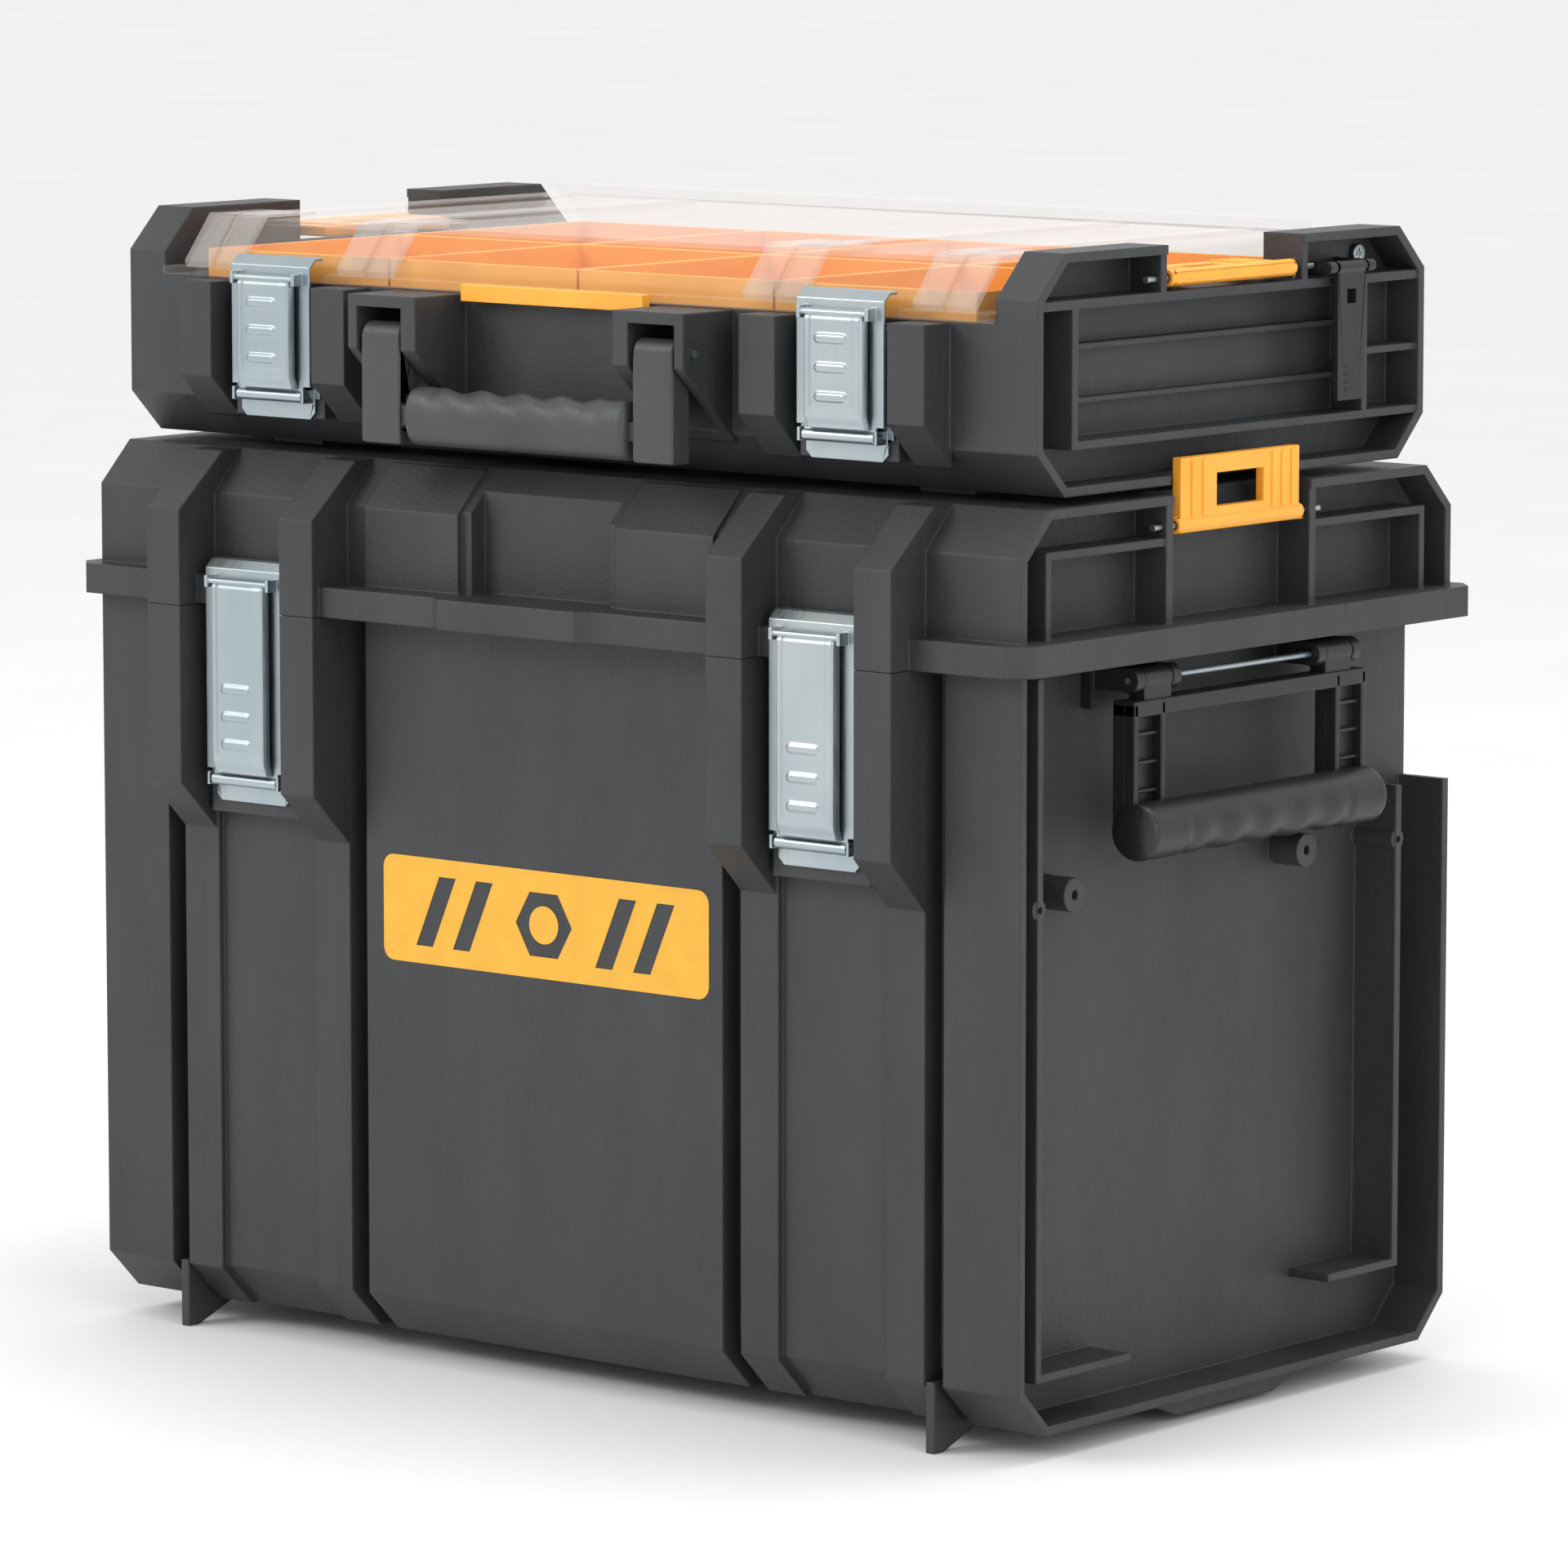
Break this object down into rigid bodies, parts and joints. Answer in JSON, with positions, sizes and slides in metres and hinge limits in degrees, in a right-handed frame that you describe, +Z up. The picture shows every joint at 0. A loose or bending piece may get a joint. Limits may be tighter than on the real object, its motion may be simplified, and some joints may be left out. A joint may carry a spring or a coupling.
{
  "type": "stacked tool case",
  "caption": "Deep lidded tool case with metal draw latches and drop side handles, with a shallow clear-lidded organiser case of loose bins latched on top.",
  "frame": {"origin": "centre of the footprint, on the ground under the feet", "axes": "+X along the width, to the right seen from the front; -Y towards the front with the latches; +Z up"},
  "size_m": [0.573, 0.358, 0.516],
  "materials": {
    "charcoal": "fine moulded texture",
    "black": "satin",
    "grey": "satin",
    "zinc": "zinc plated",
    "steel": "bright",
    "amber": "satin",
    "rubber": "matt",
    "clear": "clear moulded polycarbonate"
  },
  "bodies": {
    "case_body": {"case_tub": "charcoal", "case_latch_plate_left": "zinc", "case_latch_plate_right": "zinc", "case_latch_pin_left": "steel", "case_latch_pin_right": "steel", "handle_bracket_left": "black", "handle_bracket_right": "black", "handle_pin_left": "steel", "handle_pin_right": "steel", "lid_hinge_pin_left": "steel", "lid_hinge_pin_right": "steel"},
    "lid_body": {"case_lid": "charcoal", "lid_gasket": "rubber", "stack_latch_pin_left": "steel", "stack_latch_pin_right": "steel"},
    "organizer_body": {"organizer_tub": "charcoal", "bin_1_1": "amber", "bin_1_2": "amber", "bin_1_3": "amber", "bin_1_4": "amber", "bin_2_1": "amber", "bin_2_2": "amber", "bin_2_3": "amber", "bin_2_4": "amber", "organizer_hinge_pin_left": "steel", "organizer_hinge_pin_right": "steel", "organizer_latch_plate_left": "zinc", "organizer_latch_plate_right": "zinc", "organizer_latch_pin_left": "steel", "organizer_latch_pin_right": "steel", "carry_pin_left": "steel", "carry_pin_right": "steel", "spare_stack_latch_pin_left": "steel", "spare_stack_latch_pin_right": "steel", "strap_base_left": "black", "strap_base_right": "black", "strap_screw_left": "steel", "strap_screw_right": "steel"},
    "clear_lid_body": {"organizer_lid": "clear", "lid_front_strip": "amber"},
    "carry_body": {"carry_handle": "grey", "carry_grip": "grey"},
    "case_hook_left_body": {"case_latch_hook_left": "zinc"},
    "case_hook_right_body": {"case_latch_hook_right": "zinc"},
    "case_lever_left_body": {"case_latch_lever_left": "zinc"},
    "case_lever_right_body": {"case_latch_lever_right": "zinc"},
    "organizer_hook_left_body": {"organizer_latch_hook_left": "zinc"},
    "organizer_hook_right_body": {"organizer_latch_hook_right": "zinc"},
    "organizer_lever_left_body": {"organizer_latch_lever_left": "zinc"},
    "organizer_lever_right_body": {"organizer_latch_lever_right": "zinc"},
    "side_handle_left_body": {"side_handle_left": "black"},
    "side_handle_right_body": {"side_handle_right": "black"},
    "stack_latch_left_body": {"stack_latch_left": "amber"},
    "stack_latch_right_body": {"stack_latch_right": "amber"},
    "spare_latch_left_body": {"spare_stack_latch_left": "amber"},
    "spare_latch_right_body": {"spare_stack_latch_right": "amber"},
    "strap_left_body": {"side_strap_left": "black"},
    "strap_right_body": {"side_strap_right": "black"}
  },
  "joints": [
    {"name": "case_lid_hinge", "type": "hinge", "parent": "case_body", "child": "lid_body", "pos_m": [0, 0.174, 0.338], "axis": [-1, 0, 0], "range_deg": [0, 100]},
    {"name": "organizer_lift", "type": "slide", "parent": "lid_body", "child": "organizer_body", "axis": [0, 0, 1], "range_m": [0, 0.15]},
    {"name": "clear_lid_hinge", "type": "hinge", "parent": "organizer_body", "child": "clear_lid_body", "pos_m": [0, 0.146, 0.484], "axis": [-1, 0, 0], "range_deg": [0, 100]},
    {"name": "carry_handle_swing", "type": "hinge", "parent": "organizer_body", "child": "carry_body", "pos_m": [0, -0.166, 0.466], "axis": [-1, 0, 0], "range_deg": [0, 90]},
    {"name": "case_hook_left_swing", "type": "hinge", "parent": "case_body", "child": "case_hook_left_body", "pos_m": [-0.166, -0.1683, 0.2595], "axis": [1, 0, 0], "range_deg": [0, 95]},
    {"name": "case_hook_right_swing", "type": "hinge", "parent": "case_body", "child": "case_hook_right_body", "pos_m": [0.166, -0.1683, 0.2595], "axis": [1, 0, 0], "range_deg": [0, 95]},
    {"name": "case_lever_left_swing", "type": "hinge", "parent": "case_hook_left_body", "child": "case_lever_left_body", "pos_m": [-0.166, -0.1725, 0.35], "axis": [-1, 0, 0], "range_deg": [0, 90]},
    {"name": "case_lever_right_swing", "type": "hinge", "parent": "case_hook_right_body", "child": "case_lever_right_body", "pos_m": [0.166, -0.1725, 0.35], "axis": [-1, 0, 0], "range_deg": [0, 90]},
    {"name": "organizer_hook_left_swing", "type": "hinge", "parent": "organizer_body", "child": "organizer_hook_left_body", "pos_m": [-0.166, -0.1498, 0.4335], "axis": [1, 0, 0], "range_deg": [0, 95]},
    {"name": "organizer_hook_right_swing", "type": "hinge", "parent": "organizer_body", "child": "organizer_hook_right_body", "pos_m": [0.166, -0.1498, 0.4335], "axis": [1, 0, 0], "range_deg": [0, 95]},
    {"name": "organizer_lever_left_swing", "type": "hinge", "parent": "organizer_hook_left_body", "child": "organizer_lever_left_body", "pos_m": [-0.166, -0.154, 0.4865], "axis": [-1, 0, 0], "range_deg": [0, 90]},
    {"name": "organizer_lever_right_swing", "type": "hinge", "parent": "organizer_hook_right_body", "child": "organizer_lever_right_body", "pos_m": [0.166, -0.154, 0.4865], "axis": [-1, 0, 0], "range_deg": [0, 90]},
    {"name": "side_handle_left_swing", "type": "hinge", "parent": "case_body", "child": "side_handle_left_body", "pos_m": [-0.268, 0, 0.33], "axis": [0, 1, 0], "range_deg": [0, 90]},
    {"name": "side_handle_right_swing", "type": "hinge", "parent": "case_body", "child": "side_handle_right_body", "pos_m": [0.268, 0, 0.33], "axis": [0, -1, 0], "range_deg": [0, 90]},
    {"name": "stack_latch_left_swing", "type": "hinge", "parent": "lid_body", "child": "stack_latch_left_body", "pos_m": [-0.2645, 0, 0.3935], "axis": [0, -1, 0], "range_deg": [0, 100]},
    {"name": "stack_latch_right_swing", "type": "hinge", "parent": "lid_body", "child": "stack_latch_right_body", "pos_m": [0.2645, 0, 0.3935], "axis": [0, 1, 0], "range_deg": [0, 100]},
    {"name": "spare_latch_left_swing", "type": "hinge", "parent": "organizer_body", "child": "spare_latch_left_body", "pos_m": [-0.26, 0, 0.4995], "axis": [0, -1, 0], "range_deg": [0, 165]},
    {"name": "spare_latch_right_swing", "type": "hinge", "parent": "organizer_body", "child": "spare_latch_right_body", "pos_m": [0.26, 0, 0.4995], "axis": [0, 1, 0], "range_deg": [0, 165]},
    {"name": "strap_left_swing", "type": "hinge", "parent": "organizer_body", "child": "strap_left_body", "pos_m": [-0.2675, 0.0778, 0.4985], "axis": [0, 1, 0], "range_deg": [0, 110]},
    {"name": "strap_right_swing", "type": "hinge", "parent": "organizer_body", "child": "strap_right_body", "pos_m": [0.2675, 0.0778, 0.4985], "axis": [0, -1, 0], "range_deg": [0, 110]}
  ]
}
